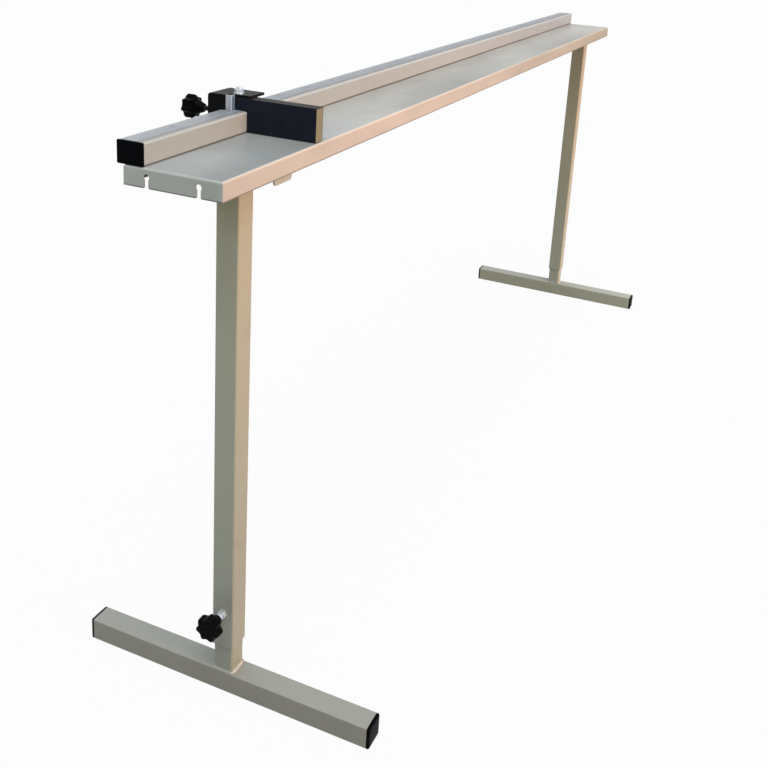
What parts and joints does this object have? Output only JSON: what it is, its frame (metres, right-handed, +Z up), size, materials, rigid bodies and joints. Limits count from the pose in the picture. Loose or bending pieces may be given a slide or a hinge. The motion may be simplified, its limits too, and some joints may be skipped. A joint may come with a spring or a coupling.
{
  "type": "support table with length stop",
  "caption": "Narrow support table for long stock on telescopic T-legs, with a measuring rail along the back and a sliding length stop held by a star knob.",
  "frame": {"origin": "on the floor, under the middle of the tray's length and width", "axes": "+X along the tray from the end with the stop to the other end, +Y from the front flange to the measuring rail, +Z up"},
  "size_m": [2.3, 0.549, 1.0041],
  "materials": {
    "tray_paint": "satin",
    "rail_paint": "satin",
    "leg_paint": "satin",
    "scale_band": "matt, printed",
    "zinc": "zinc plated",
    "black_plastic": "matt",
    "dark_steel": "satin",
    "board_skin": "matt",
    "timber": "planed"
  },
  "bodies": {
    "table": {"tray": "tray_paint", "front_bracket": "tray_paint", "rail": "rail_paint", "rail_scale": "scale_band", "rail_cap_near": "black_plastic", "rail_cap_far": "black_plastic", "rail_screws": "zinc", "rail_washers": "zinc", "rail_nuts": "zinc", "leg_plate_near": "leg_paint", "leg_plate_far": "leg_paint", "plate_studs_near": "zinc", "plate_studs_far": "zinc", "plate_washers_near": "zinc", "plate_washers_far": "zinc", "plate_nuts_near": "zinc", "plate_nuts_far": "zinc", "outer_tube_near": "leg_paint", "outer_tube_far": "leg_paint", "clamp_nut_near": "zinc", "clamp_nut_far": "zinc"},
    "foot_near": {"inner_tube_near": "leg_paint", "foot_bar_near": "leg_paint", "foot_caps_near": "black_plastic", "foot_beads_near": "leg_paint"},
    "foot_far": {"inner_tube_far": "leg_paint", "foot_bar_far": "leg_paint", "foot_caps_far": "black_plastic", "foot_beads_far": "leg_paint"},
    "leg_clamp_near": {"leg_knob_near": "black_plastic", "leg_stud_near": "zinc"},
    "leg_clamp_far": {"leg_screw_far": "zinc"},
    "stop": {"stop_carriage": "dark_steel", "stop_clamp_nut": "zinc", "stop_pointer": "zinc", "stop_board": "timber", "board_facing": "board_skin", "board_screws": "zinc", "board_bolt": "zinc", "board_washer": "zinc", "board_nut": "zinc"},
    "clamp_pad": {"stop_pad": "black_plastic"},
    "stop_screw": {"stop_knob": "black_plastic", "stop_stud": "zinc"}
  },
  "joints": [
    {"name": "near_leg_extend", "type": "slide", "parent": "foot_near", "child": "table", "axis": [0, 0, 1], "range_m": [-0.04, 0.12]},
    {"name": "far_leg_extend", "type": "slide", "parent": "table", "child": "foot_far", "axis": [0, 0, -1], "range_m": [-0.04, 0.12]},
    {"name": "near_clamp_turn", "type": "hinge", "parent": "table", "child": "leg_clamp_near", "pos_m": [-1.03, 0, 0.155], "axis": [-1, 0, 0], "range_deg": [0, 540]},
    {"name": "far_clamp_turn", "type": "hinge", "parent": "table", "child": "leg_clamp_far", "pos_m": [1.14, 0, 0.155], "axis": [1, 0, 0], "range_deg": [0, 540]},
    {"name": "stop_slide", "type": "slide", "parent": "table", "child": "stop", "axis": [1, 0, 0], "range_m": [-0.24, 1.98]},
    {"name": "clamp_pad_travel", "type": "slide", "parent": "stop", "child": "clamp_pad", "axis": [0, 1, 0], "range_m": [0, 0.0024]},
    {"name": "stop_knob_turn", "type": "hinge", "parent": "clamp_pad", "child": "stop_screw", "pos_m": [-0.873, 0.12, 0.961], "axis": [0, 1, 0], "range_deg": [0, 692]}
  ],
  "couplings": [
    {"joint": "stop_knob_turn", "follows": "clamp_pad_travel", "rad_per_m": 5026.5}
  ]
}
